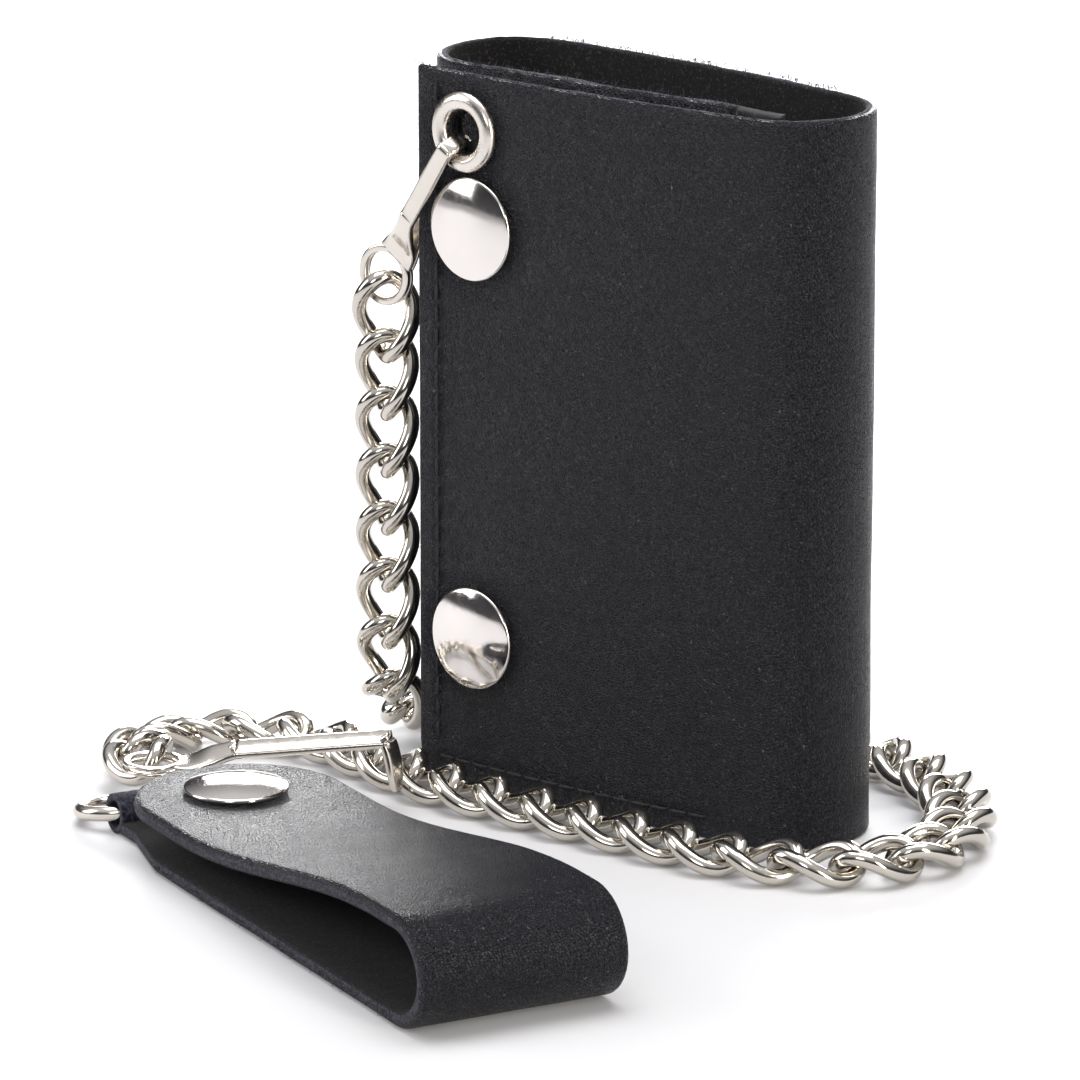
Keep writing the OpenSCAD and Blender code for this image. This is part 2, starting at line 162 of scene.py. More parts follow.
class Nodes:
    """A principled material and short ways to add texture nodes to it."""

    def __init__(self, name, color, roughness, metallic=0.0):
        self.mat = bpy.data.materials.new(name)
        self.mat.use_nodes = True
        self.tree = self.mat.node_tree
        self.shader = self.tree.nodes["Principled BSDF"]
        self.shader.inputs["Base Color"].default_value = (*color, 1)
        self.shader.inputs["Roughness"].default_value = roughness
        self.shader.inputs["Metallic"].default_value = metallic
        coords = self.tree.nodes.new("ShaderNodeTexCoord")
        self.place = coords.outputs["Object"]

    def link(self, a, b):
        self.tree.links.new(a, b)

    def noise(self, scale, detail=4, rough=0.55):
        n = self.tree.nodes.new("ShaderNodeTexNoise")
        n.inputs["Scale"].default_value = scale
        n.inputs["Detail"].default_value = detail
        n.inputs["Roughness"].default_value = rough
        self.link(self.place, n.inputs["Vector"])
        return n.outputs["Fac"]

    def cells(self, scale):
        n = self.tree.nodes.new("ShaderNodeTexVoronoi")
        n.feature = "DISTANCE_TO_EDGE"
        n.inputs["Scale"].default_value = scale
        self.link(self.place, n.inputs["Vector"])
        return n.outputs["Distance"]

    def ramp(self, value, low, high, start=0.35, stop=0.65):
        n = self.tree.nodes.new("ShaderNodeValToRGB")
        n.color_ramp.elements[0].position, n.color_ramp.elements[1].position = start, stop
        n.color_ramp.elements[0].color = (*low, 1)
        n.color_ramp.elements[1].color = (*high, 1)
        self.link(value, n.inputs["Fac"])
        return n.outputs["Color"]

    def span(self, value, low, high, start=0.0, stop=1.0):
        n = self.tree.nodes.new("ShaderNodeMapRange")
        n.inputs["From Min"].default_value, n.inputs["From Max"].default_value = start, stop
        n.inputs["To Min"].default_value, n.inputs["To Max"].default_value = low, high
        self.link(value, n.inputs["Value"])
        return n.outputs["Result"]

    def bump(self, height, distance, strength=1.0, under=None):
        n = self.tree.nodes.new("ShaderNodeBump")
        n.inputs["Strength"].default_value = strength
        n.inputs["Distance"].default_value = distance
        self.link(height, n.inputs["Height"])
        if under is not None:
            self.link(under, n.inputs["Normal"])
        return n.outputs["Normal"]

    def done(self, color=None, roughness=None, normal=None):
        for socket, value in (("Base Color", color), ("Roughness", roughness), ("Normal", normal)):
            if value is not None:
                self.link(value, self.shader.inputs[socket])
        return self.mat


def grain_leather():
    """Corrected-grain black leather: fine flat pebbles, creases between them, a satin finish."""
    n = Nodes("grain_leather", (0.010, 0.010, 0.014), 0.45)
    pebbles = n.span(n.cells(2300), 0, 1, 0.0, 0.30)
    fine = n.noise(4200, 3)
    broad = n.noise(90, 3)
    color = n.ramp(n.noise(2500, 3, 0.6), (0.0040, 0.0040, 0.0070), (0.027, 0.027, 0.036), 0.46, 0.74)
    rough = n.span(broad, 0.34, 0.43, 0.3, 0.7)
    normal = n.bump(fine, 0.00004, 0.5)
    normal = n.bump(pebbles, 0.00032, 1.0, normal)
    normal = n.bump(n.noise(260, 3), 0.00025, 0.22, normal)
    n.shader.inputs["Specular IOR Level"].default_value = 0.26
    n.shader.inputs["Sheen Weight"].default_value = 0.02
    n.shader.inputs["Sheen Tint"].default_value = (0.75, 0.8, 1, 1)
    return n.done(color, rough, normal)


def suede():
    """The flesh side: short dark nap with pale specks."""
    n = Nodes("flesh_side", (0.012, 0.012, 0.014), 0.95)
    specks = n.ramp(n.noise(2600, 2), (0.010, 0.0095, 0.011), (0.065, 0.060, 0.064), 0.55, 0.78)
    normal = n.bump(n.noise(3000, 4, 0.7), 0.00022, 0.9)
    normal = n.bump(n.noise(500, 3), 0.0003, 0.5, normal)
    n.shader.inputs["Sheen Weight"].default_value = 0.06
    n.shader.inputs["Specular IOR Level"].default_value = 0.2
    return n.done(specks, None, normal)


def cut_edge():
    """Raw cut edge: bluish-black fibres, rough and uneven."""
    n = Nodes("cut_edge", (0.02, 0.02, 0.03), 0.9)
    color = n.ramp(n.noise(1700, 5, 0.7), (0.007, 0.007, 0.012), (0.10, 0.10, 0.15), 0.46, 0.74)
    normal = n.bump(n.noise(2400, 5, 0.75), 0.0003, 1.0)
    n.shader.inputs["Sheen Weight"].default_value = 0.12
    n.shader.inputs["Specular IOR Level"].default_value = 0.25
    return n.done(color, None, normal)


def lining_leather():
    """Thin smooth lining: a little greyer and duller than the outer leather."""
    n = Nodes("lining_leather", (0.02, 0.02, 0.022), 0.6)
    color = n.ramp(n.noise(420, 4), (0.012, 0.012, 0.014), (0.028, 0.028, 0.031), 0.3, 0.7)
    normal = n.bump(n.span(n.cells(1900), 0, 1, 0, 0.3), 0.00005, 0.5)
    normal = n.bump(n.noise(150, 3), 0.0006, 0.35, normal)
    return n.done(color, n.span(n.noise(200), 0.48, 0.68, 0.3, 0.7), normal)


def nickel(name, color, low, high, wave=0.00006):
    """Warm nickel plate with polishing haze and faint waviness."""
    n = Nodes(name, color, low, 1.0)
    rough = n.span(n.noise(700, 5, 0.65), low, high, 0.35, 0.7)
    normal = n.bump(n.noise(330, 2), wave, 0.35)
    tint = n.ramp(n.noise(120, 3), tuple(c * 0.94 for c in color), color, 0.3, 0.7)
    return n.done(tint, rough, normal)


def thread_material():
    """Black twisted thread."""
    n = Nodes("thread", (0.008, 0.008, 0.009), 0.75)
    twist = n.tree.nodes.new("ShaderNodeTexWave")
    twist.inputs["Scale"].default_value = 900
    twist.bands_direction = "DIAGONAL"
    n.link(n.place, twist.inputs["Vector"])
    color = n.ramp(n.noise(2500, 2), (0.005, 0.005, 0.006), (0.022, 0.022, 0.024), 0.35, 0.7)
    return n.done(color, None, n.bump(twist.outputs["Fac"], 0.00006, 0.8))


GRAIN, FLESH, EDGE, LINING = grain_leather(), suede(), cut_edge(), lining_leather()
CHAIN_METAL = nickel("chain_nickel", (0.60, 0.565, 0.51), 0.09, 0.18)
CLIP_METAL = nickel("clip_nickel", (0.70, 0.655, 0.60), 0.13, 0.25)
CAP_METAL = nickel("cap_nickel", (0.80, 0.76, 0.73), 0.07, 0.15, 0.00003)
EYELET_METAL = nickel("eyelet_nickel", (0.74, 0.69, 0.64), 0.20, 0.32)
THREAD = thread_material()


# ---- mesh helpers ----

def add_mesh(name, verts, faces, materials, body, face_materials=None):
    """Makes a smooth piece from points in millimetres and lets it ride on a body."""
    mesh = bpy.data.meshes.new(name)
    mesh.from_pydata([tuple(Vector(v) * MM) for v in verts], [], faces)
    for mat in materials:
        mesh.materials.append(mat)
    if face_materials is not None:
        mesh.polygons.foreach_set("material_index", face_materials)
    mesh.polygons.foreach_set("use_smooth", [True] * len(faces))
    obj = bpy.data.objects.new(name, mesh)
    bpy.context.scene.collection.objects.link(obj)
    bm = bmesh.new()
    bm.from_mesh(mesh)
    bmesh.ops.recalc_face_normals(bm, faces=bm.faces)
    bm.to_mesh(mesh)
    bm.free()
    if body:
        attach(obj, body)
    return obj


def ring_faces(rings, sides, start=0, closed=False):
    """Quads between neighbouring rings of points, and from the last ring to the first if closed."""
    faces = []
    for i in range(rings if closed else rings - 1):
        for k in range(sides):
            a, b, m = start + i * sides, start + (i + 1) % rings * sides, (k + 1) % sides
            faces.append((a + k, b + k, b + m, a + m))
    return faces


def edge_spaced(length, step, rim=(0, 0.12, 0.3, 0.55, 0.9, 1.5)):
    """Stations along a length: close together at both ends, so that a rim can round over."""
    middle = np.linspace(rim[-1], length - rim[-1], max(3, int((length - 2 * rim[-1]) / step) + 1))
    return np.array([*rim[:-1], *middle, *[length - r for r in reversed(rim[:-1])]])


def resample(points, stations):
    """Points of a polyline at these distances along it, and the unit normal to its left there."""
    points = np.array(points, float)
    run = np.concatenate([[0], np.cumsum(np.linalg.norm(np.diff(points, axis=0), axis=1))])
    place = np.stack([np.interp(stations, run, points[:, k]) for k in (0, 1)], 1)
    ahead = np.stack([np.interp(np.minimum(stations + 0.4, run[-1]), run, points[:, k]) for k in (0, 1)], 1)
    behind = np.stack([np.interp(np.maximum(stations - 0.4, 0), run, points[:, k]) for k in (0, 1)], 1)
    along = ahead - behind
    along /= np.linalg.norm(along, axis=1)[:, None]
    return place, np.stack([-along[:, 1], along[:, 0]], 1)


def softened(points, reach=3.0, step=0.5):
    """The polyline with its kinks eased: each point becomes the mean of its neighbourhood."""
    count = int(length_of(points) / step)
    even = resample(points, np.linspace(0, length_of(points), count + 1))[0]
    out = []
    for i in range(count + 1):
        w = min(int(reach / step), i, count - i)
        out.append(even[i - w:i + w + 1].mean(0))
    return np.array(out)


def length_of(points):
    return float(np.linalg.norm(np.diff(np.array(points, float), axis=0), axis=1).sum())


def rim_drop(d, radius):
    """How far a rounded rim of that radius falls away at distance d from its edge."""
    return 0.0 if d >= radius else radius - math.sqrt(max(radius * radius - (radius - d) ** 2, 0))


def ripple(p, size, amount):
    """Smooth noise of that size in millimetres, from -amount to amount."""
    return amount * noise.noise(Vector(p) / size)


def leather_shell(name, stations, place, widths, thickness, materials, body,
                  fuzz=0.22, rim=0.7, round_ends=(True, True), dent=None, hole=None):
    """A closed sheet of leather. place(i, w, depth) gives the point at station i, w across and
    depth below the grain side. widths(i) gives the stations across. dent(point) sinks the grain."""
    rows = [widths(i) for i in range(len(stations))]
    count = len(rows[0])
    total = stations[-1] - stations[0]
    grain, flesh = [], []
    for i, s in enumerate(stations):
        row = rows[i]
        for w in row:
            near = min(w - row[0], row[-1] - w)
            if round_ends[0]:
                near = min(near, s - stations[0])
            if round_ends[1]:
                near = min(near, stations[-1] - s)
            low = rim_drop(near, rim)
            top = place(i, w, 0)
            if dent:
                low += dent(top)
            low += ripple(top, 14, 0.10) + ripple(top, 5, 0.03) + 0.1
            under = thickness - rim_drop(near, 0.35) - ripple(top, 3, 0.06) - 0.05
            grain.append(place(i, w, low))
            flesh.append(place(i, w, max(under, low + 0.1)))
    n = len(stations)
    at = lambda i, k: i * count + k
    base = n * count
    faces, mats = [], []
    for i in range(n - 1):
        for k in range(count - 1):
            if hole and hole(grain[at(i, k)]):
                continue
            face = (at(i, k), at(i + 1, k), at(i + 1, k + 1), at(i, k + 1))
            faces += [face, tuple(base + v for v in (face[0], face[3], face[2], face[1]))]
            mats += [0, 1]
    # the cut edge: three rows between the grain and the flesh side, roughened
    border = [(i, 0) for i in range(n)] + [(n - 1, k) for k in range(1, count)]
    border += [(i, count - 1) for i in range(n - 2, -1, -1)] + [(0, k) for k in range(count - 2, 0, -1)]
    verts = grain + flesh
    rings = [[at(i, k) for i, k in border]]
    for step in (0.25, 0.5, 0.75):
        ring = []
        for i, k in border:
            a, b = Vector(grain[at(i, k)]), Vector(flesh[at(i, k)])
            p = a.lerp(b, step)
            inner = Vector(place(min(max(i, 1), n - 2), rows[i][min(max(k, 1), count - 2)], thickness / 2))
            out = (p - inner).normalized()
            rough = fuzz * (noise.noise(p / 0.5) * 0.5 + noise.noise(p / 1.7) * 0.6)
            ring.append(len(verts))
            verts.append(tuple(p + out * (0.16 * math.sin(math.pi * step) + rough)))
        rings.append(ring)
    rings.append([base + at(i, k) for i, k in border])
    for a, b in zip(rings, rings[1:]):
        for j in range(len(border)):
            m = (j + 1) % len(border)
            faces.append((a[j], a[m], b[m], b[j]))
            mats.append(2)
    return add_mesh(name, verts, faces, materials, body, mats)


def upright_leather(name, plan, low, high, thickness, body, materials=None, ends=(True, True),
                    dent=None, hole=None, top_wave=0.0, fuzz=0.22, step=1.3):
    """A sheet that stands on its edge along a plan line, its grain to the right of the line."""
    stations = edge_spaced(length_of(plan), step)
    line, left = resample(plan, stations)
    heights = edge_spaced(high - low, step * 1.3)

    def widths(i):
        wave = top_wave * noise.noise(Vector((stations[i] / 9, high, low)))
        return heights * (high - low + wave) / (high - low) + low

    def place(i, z, depth):
        return (line[i][0] + left[i][0] * depth, line[i][1] + left[i][1] * depth, z)

    return leather_shell(name, stations, place, widths, thickness, materials or [GRAIN, FLESH, EDGE],
                         body, fuzz=fuzz, round_ends=ends, dent=dent, hole=hole)


# ---- the wallet's outer leather ----

FLAP_LOW, FLAP_HIGH = span("front_flap")
FOLD_LOW, FOLD_HIGH = span("main_fold")
LEFT_LOW, LEFT_HIGH = span("left_fold")
INNER_END = span("inner_panel")[1].x
HEIGHT = FLAP_HIGH.z
THICK = 1.8
FLAP_BOW, BACK_BOW, INNER_BOW = 1.4, 1.7, 0.5
FLAP_EDGE_Y, INNER_SHIFT = -9.8, 0.6


def bowed(a, b, bow, steps=40):
    """Plan points from a to b, bowed along y by bow at the middle."""
    return [(a[0] + (b[0] - a[0]) * s, a[1] + (b[1] - a[1]) * s + 4 * bow * s * (1 - s))
            for s in (i / steps for i in range(steps + 1))]


def half_ellipse(centre, rx, ry, start, stop, steps=60):
    """Plan points round an ellipse between two angles in degrees, both ends left out."""
    return [(centre[0] + rx * math.cos(math.radians(a)), centre[1] + ry * math.sin(math.radians(a)))
            for a in (start + (stop - start) * i / steps for i in range(1, steps))]


def wallet_plan():
    """The outer leather seen from above: flap, right fold, back, left fold and inner third."""
    fold_y = (FOLD_LOW.y + FOLD_HIGH.y) / 2
    left_y = (LEFT_LOW.y + LEFT_HIGH.y) / 2
    front = bowed((FLAP_LOW.x, FLAP_EDGE_Y), (FOLD_LOW.x, FOLD_LOW.y), -FLAP_BOW)
    right = half_ellipse((FOLD_LOW.x, fold_y), FOLD_HIGH.x - FOLD_LOW.x, (FOLD_HIGH.y - FOLD_LOW.y) / 2,
                         -90, 90)
    back = bowed((FOLD_LOW.x, FOLD_HIGH.y), (LEFT_HIGH.x, LEFT_HIGH.y), BACK_BOW)
    left = half_ellipse((LEFT_HIGH.x, left_y), LEFT_HIGH.x - LEFT_LOW.x, (LEFT_HIGH.y - LEFT_LOW.y) / 2,
                        90, 270)
    inner = bowed((LEFT_HIGH.x, LEFT_LOW.y), (INNER_END, LEFT_LOW.y - INNER_SHIFT), -INNER_BOW)
    return front, right, back, left, inner


FRONT, RIGHT, BACK, LEFT, INNER = wallet_plan()
SEAM_IN, BASE_SEAM, PITCH = 3.9, 3.3, 3.3


def flap_y(x):
    """The y of the flap's grain side at x."""
    return float(np.interp(x, [p[0] for p in FRONT], [p[1] for p in FRONT]))


CAP_PLACES = [(-29, 22.5), (-29, 83.6)]
CAP_R, CAP_H = 7.6, 1.85
EYELET = (-30.5, 97.6)
EYELET_SEAT, EYELET_HOLE = 5.9, 3.6


def flap_dent(p):
    """Grooves under the stitch rows and dimples round the snaps and the eyelet."""
    x, y, z = p
    groove_depth, groove_reach, dimple_depth, dimple_reach = 0.22, 0.6, 0.38, 1.6
    on_flap = y < -6
    sink = 0.0
    if on_flap:
        for d in (x - (FLAP_LOW.x + SEAM_IN), z - BASE_SEAM):
            sink += groove_depth * math.exp(-(d / groove_reach) ** 2)
        for (cx, cz), r in [(place, CAP_R) for place in CAP_PLACES] + [(EYELET, EYELET_SEAT)]:
            d = math.hypot(x - cx, z - cz)
            sink += dimple_depth * math.exp(-(max(d - r, 0) / dimple_reach) ** 2)
    return sink


def eyelet_hole(p):
    """True where the eyelet's hole goes through the flap and its lining."""
    return p[1] < -4 and math.hypot(p[0] - EYELET[0], p[2] - EYELET[1]) < EYELET_HOLE


BACK_JOIN = 23
front_wrap = upright_leather("outer_leather_front", softened(FRONT + RIGHT + BACK[:BACK_JOIN + 1]),
                             0, HEIGHT, THICK, None, ends=(True, False),
                             dent=flap_dent, hole=eyelet_hole)
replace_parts(front_wrap, "front_flap", "main_fold", "back_panel")
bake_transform(front_wrap)
rear_wrap = upright_leather("outer_leather_rear", softened(BACK[BACK_JOIN:] + LEFT + INNER),
                            0, HEIGHT, THICK, None, ends=(False, True))
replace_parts(rear_wrap, "left_fold", "inner_panel")
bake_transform(rear_wrap)


# ---- linings and pockets ----

LINING_T, INNER_LINING_T, LINING_LOW = 0.9, 0.6, 2
BEHIND_LEATHER, BEHIND_LINING = 1.85, 2.78
FLAP_LINING_X, FLAP_POCKET_X = (-39, 13.8), (-18, 12.8)
BILL_START, BILL_END, BILL_Y = span("bill_lining")[0].x, 18, -0.45


def lining_sheet(name, node, plan, thickness, low, high, hole=None):
    """A lining or pocket that takes the place of a CAD node."""
    sheet = upright_leather(name, plan, low, high, thickness, body_of(node),
                            materials=[LINING, FLESH, EDGE], top_wave=0.5, fuzz=0.08, step=2.0, hole=hole)
    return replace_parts(sheet, node)


def flap_parallel(start, stop, depth):
    """Plan points at that depth behind the flap's grain side."""
    return [(x, flap_y(x) + depth) for x in np.linspace(start, stop, 40)]


lining_sheet("flap_lining_leather", "flap_lining", flap_parallel(*FLAP_LINING_X, BEHIND_LEATHER),
             LINING_T, LINING_LOW, HEIGHT - 0.6, hole=eyelet_hole)
lining_sheet("flap_pocket_leather", "flap_card_pocket", flap_parallel(*FLAP_POCKET_X, BEHIND_LINING),
             LINING_T, LINING_LOW, HEIGHT * 0.72)
lining_sheet("inner_lining_leather", "inner_lining", [(x, y + BEHIND_LEATHER) for x, y in INNER[2:-2]],
             INNER_LINING_T, LINING_LOW, HEIGHT - 1.4)
lining_sheet("bill_lining_leather", "bill_lining", bowed((BILL_START, BILL_Y), (BILL_END, BILL_Y), 0),
             LINING_T, 0, HEIGHT - 1.2)
for pocket in ("card_pocket_low", "card_pocket_high"):
    low, high = span(pocket)
    lining_sheet(pocket + "_leather", pocket, bowed((low.x, low.y), (high.x, low.y), 0),
                 LINING_T, low.z, high.z)


# ---- stitching and stray fibres ----

def tube(verts, faces, path, radii, sides=7):
    """Adds a closed tube through the path to verts and faces."""
    path = [Vector(p) for p in path]
    start = len(verts)
    guide = Vector((0.31, 0.52, 0.79))
    for i, p in enumerate(path):
        along = (path[min(i + 1, len(path) - 1)] - path[max(i - 1, 0)]).normalized()
        a = along.cross(guide).normalized()
        b = along.cross(a)
        for k in range(sides):
            t = 2 * math.pi * k / sides
            verts.append(tuple(p + (a * math.cos(t) + b * math.sin(t)) * radii[i]))
    faces += ring_faces(len(path), sides, start)
    faces.append(tuple(start + k for k in reversed(range(sides))))
    faces.append(tuple(start + (len(path) - 1) * sides + k for k in range(sides)))


def stitch_row(verts, faces, points, out, pitch=PITCH, gap=0.35):
    """Stitches along a line of points, each humped over the leather and sunk at its ends."""
    points = np.array(points, float)
    run = np.concatenate([[0], np.cumsum(np.linalg.norm(np.diff(points, axis=0), axis=1))])
    at = lambda s: Vector([np.interp(s, run, points[:, k]) for k in range(3)])
    for j in range(int(run[-1] / pitch)):
        s0 = j * pitch + gap / 2 + random.uniform(-0.12, 0.12)
        s1 = (j + 1) * pitch - gap / 2 + random.uniform(-0.12, 0.12)
        path, radii = [], []
        for i in range(9):
            t = i / 8
            normal = out(at(s0 + (s1 - s0) * t))
            path.append(at(s0 + (s1 - s0) * t) + normal * (0.16 * math.sin(math.pi * t) ** 0.5 - 0.12))
            radii.append(0.24 * (0.65 + 0.35 * math.sin(math.pi * t)))
        path[0] -= out(path[0]) * 0.5
        path[-1] -= out(path[-1]) * 0.5
        tube(verts, faces, path, radii)


def flap_stitching():
    """One row down the flap's free edge and one along its base."""
    verts, faces = [], []
    front = lambda p: Vector((0, -1, 0))
    x = FLAP_LOW.x + SEAM_IN
    down = [(x, flap_y(x) + 0.1, z) for z in np.linspace(HEIGHT - 1.5, BASE_SEAM, 60)]
    along = [(u, flap_y(u) + 0.1, BASE_SEAM) for u in np.linspace(x, 15, 60)]
    stitch_row(verts, faces, down, front)
    stitch_row(verts, faces, along, front)
    add_mesh("flap_stitching", verts, faces, [THREAD], "flap")


flap_stitching()


def fibres(name, points, body, count, reach=0.9):
    """Short stray fibres along raw edges. points is a list of (place, outward direction)."""
    verts, faces = [], []
    for _ in range(count):
        place, out = random.choice(points)
        p = Vector(place) + Vector([random.uniform(-0.5, 0.5) for _ in range(3)]) * 0.9
        d = (Vector(out) + Vector([random.uniform(-1, 1) for _ in range(3)]) * 0.8).normalized()
        bend = Vector([random.uniform(-1, 1) for _ in range(3)]) * 0.5
        size = reach * random.uniform(0.4, 1.0) ** 2
        path = [p + d * size * t + bend * size * t * t for t in (0, 0.35, 0.7, 1.0)]
        tube(verts, faces, path, [0.05, 0.045, 0.035, 0.015], 3)
    return add_mesh(name, verts, faces, [EDGE], body)


fibres("flap_rim_fibres", [((x, y + 0.9, HEIGHT), (0, 0, 1)) for x, y in FRONT], "flap", 420)
fibres("back_rim_fibres", [((x, y - 0.9, HEIGHT), (0, 0, 1)) for x, y in BACK], "wallet", 700)
fibres("inner_rim_fibres", [((x, y + 0.9, HEIGHT), (0, 0, 1)) for x, y in INNER] +
       [((INNER[-1][0], INNER[-1][1] + 0.9, z), (1, 0, 0.4)) for z in np.linspace(80, HEIGHT, 12)],
       "inner", 420)
fibres("flap_edge_fibres", [((FLAP_LOW.x, -8.9, z), (-1, 0, 0)) for z in np.linspace(0, HEIGHT, 60)],
       "flap", 160, 0.5)


# ---- snaps and eyelets ----

def revolve(name, profile, place, axis, material, body, sides=96):
    """A turned piece: profile is (radius, height) from the middle outwards, turned about axis."""
    turn = Vector((0, 0, 1)).rotation_difference(Vector(axis)).to_matrix()
    verts, faces = [], ring_faces(len(profile), sides)
    for r, h in profile:
        for k in range(sides):
            t = 2 * math.pi * k / sides
            verts.append(tuple(Vector(place) + turn @ Vector((r * math.cos(t), r * math.sin(t), h))))
    if profile[0] != profile[-1]:
        for i, order in ((0, -1), (len(profile) - 1, 1)):
            faces.append(tuple(i * sides + k for k in range(sides))[::order])
    return add_mesh(name, verts, faces, [material], body)


def cap_profile(radius, height):
    """A shallow dome that rolls over at the rim and tucks in under it."""
    rim = 0.42
    dome = [(radius * 0.955 * t, height - (height - 2 * rim) * t ** 2.3) for t in np.linspace(0.002, 1, 22)]
    roll = [(radius - rim + rim * math.cos(a), rim + rim * math.sin(a)) for a in np.linspace(1.1, -1.4, 12)]
    return dome + roll + [(radius - 1.2, 0.02), (0.01, 0.02)]


def flap_normal(x):
    """The flap's outward direction at x."""
    slope = (flap_y(x + 1) - flap_y(x - 1)) / 2
    return Vector((slope, -1, 0)).normalized()


for label, (x, z) in zip(("low", "high"), CAP_PLACES):
    cap = revolve("snap_cap_" + label, cap_profile(CAP_R, CAP_H), (x, flap_y(x) + 0.12, z), flap_normal(x),
                  CAP_METAL, "flap")
    if label == "low":
        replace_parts(cap, "snap_caps")


def eyelet_profile():
    """A rolled flange round the hole, closed back down the barrel."""
    outer, bore = 5.95, 3.2
    mid, half = (outer + bore) / 2, (outer - bore) / 2
    ring = [(mid + half * math.cos(a), 0.1 + 1.05 * math.sin(a)) for a in np.linspace(-0.3, math.pi, 26)]
    return ring + [(bore, -3.1), (bore + 0.45, -3.1), (bore + 0.45, -0.1), (outer - 0.3, -0.12), ring[0]]


eyelet = revolve("eyelet_flange", eyelet_profile(), (EYELET[0], flap_y(EYELET[0]) + 0.08, EYELET[1]),
                 flap_normal(EYELET[0]), EYELET_METAL, "flap")
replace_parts(eyelet, "eyelet_barrel")


# ---- chain ----

def curb_link_mesh(pitch=8.7, wire=2.4, width=10.7, twist=45.0, slack=0.75, rings=72, sides=18):
    """A curb link about the origin, along x: an oval whose ends turn opposite ways."""
    half = (pitch + wire + slack) / 2

    def at(u):
        x, y = half * math.cos(u), (width - wire) / 2 * math.sin(u)
        turn = math.radians(twist) * x / half
        return Vector((x, y * math.cos(turn), y * math.sin(turn)))

    verts = []
    for i in range(rings):
        u = 2 * math.pi * i / rings
        along = (at(u + 0.02) - at(u - 0.02)).normalized()
        out = at(u) - along * at(u).dot(along)
        out.normalize()
        side = along.cross(out)
        for k in range(sides):
            t = 2 * math.pi * k / sides
            verts.append(at(u) + (side * math.cos(t) + out * math.sin(t)) * wire / 2)
    return verts, ring_faces(rings, sides, closed=True)


def loose_parts(node):
    """The separate solids of a CAD node, each as an array of its points in millimetres."""
    bm = bmesh.new()
    bm.from_mesh(frame["nodes"][node].data)
    bmesh.ops.remove_doubles(bm, verts=bm.verts, dist=1e-6)
    left, parts = set(bm.verts), []
    while left:
        grow, part = [left.pop()], []
        while grow:
            v = grow.pop()
            part.append(list(v.co / MM))
            for e in v.link_edges:
                w = e.other_vert(v)
                if w in left:
                    left.discard(w)
                    grow.append(w)
        parts.append(np.array(part))
    bm.free()
    return parts


LINK_VERTS, LINK_FACES = curb_link_mesh()
for node in sorted(n for n in frame["nodes"] if n.startswith("chain_link")):
    verts, faces = [], []
    for part in loose_parts(node):
        centre = part.mean(0)
        axes = np.linalg.svd(part - centre, full_matrices=False)[2]
        if np.linalg.det(axes) < 0:
            axes[2] *= -1
        turn = Matrix(axes.tolist()).transposed()
        start = len(verts)
        verts += [tuple(Vector(centre) + turn @ v) for v in LINK_VERTS]
        faces += [tuple(start + k for k in f) for f in LINK_FACES]
    link = add_mesh("curb_" + node, verts, faces, [CHAIN_METAL], body_of(node))
    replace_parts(link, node)


# ---- belt loop ----

LOOP_TURN = Matrix.Rotation(math.radians(-24.5), 3, "Z")
LOOP_PLACE = Vector((-27.2, -59.6, 0))
STRAP_W, STRAP_T, LOOP_H, TONGUE_H = 31.0, 2.4, 16.0, 8.8
FOLD_X, TIP_X, SNAP_X = 69.0, -24.0, -11.0
RISE_START, RISE_LENGTH = 2, 62
TOP_STEPS, FOLD_HALF = 90, 12
TAB_END, TAB_Y, TAB_W, KEEPER_R, KEEPER_BORE = -23.5, -9.5, 6.0, 3.0, 1.95


def in_loop(p):
    """A point of the belt loop's own frame, placed in the scene."""
    return tuple(LOOP_PLACE + LOOP_TURN @ Vector(p))


def tongue_top(x):
    """Height of the tongue's grain side: level at the snap, rising to the fold."""
    s = min(max((x - RISE_START) / RISE_LENGTH, 0), 1)
    return TONGUE_H + (LOOP_H - TONGUE_H) * s * s * (3 - 2 * s)


def strap_line():
    """The strap's grain side from the tongue's tip over the fold and back to the tab, as (x, z)."""
    r = LOOP_H / 2
    top = [(x, tongue_top(x)) for x in np.linspace(TIP_X, FOLD_X, TOP_STEPS)]
    fold = [(FOLD_X + (r + 1) * math.cos(a), r + r * math.sin(a))
            for a in np.linspace(math.pi / 2, -math.pi / 2, 50)]
    bottom = [(x, 0) for x in np.linspace(FOLD_X, TAB_END, 70)]
    return top + fold[1:-1] + bottom


def strap_sides(x, upper):
    """Low and high y of the strap at x, on the upper or on the lower layer."""
    half = STRAP_W / 2
    if upper:
        inside = min(x - TIP_X, half)
        w = math.sqrt(max(half * half - (half - inside) ** 2, 1.2))
        return -w, w
    low = np.interp(x, [TAB_END, -18.5, -6], [TAB_Y - TAB_W / 2, TAB_Y - TAB_W / 2, -half])
    high = np.interp(x, [TAB_END, -19, -16.5, -10, -2],
                     [TAB_Y + TAB_W / 2, TAB_Y + TAB_W / 2, TAB_Y + 7, half - 5, half])
    return float(low), float(high)


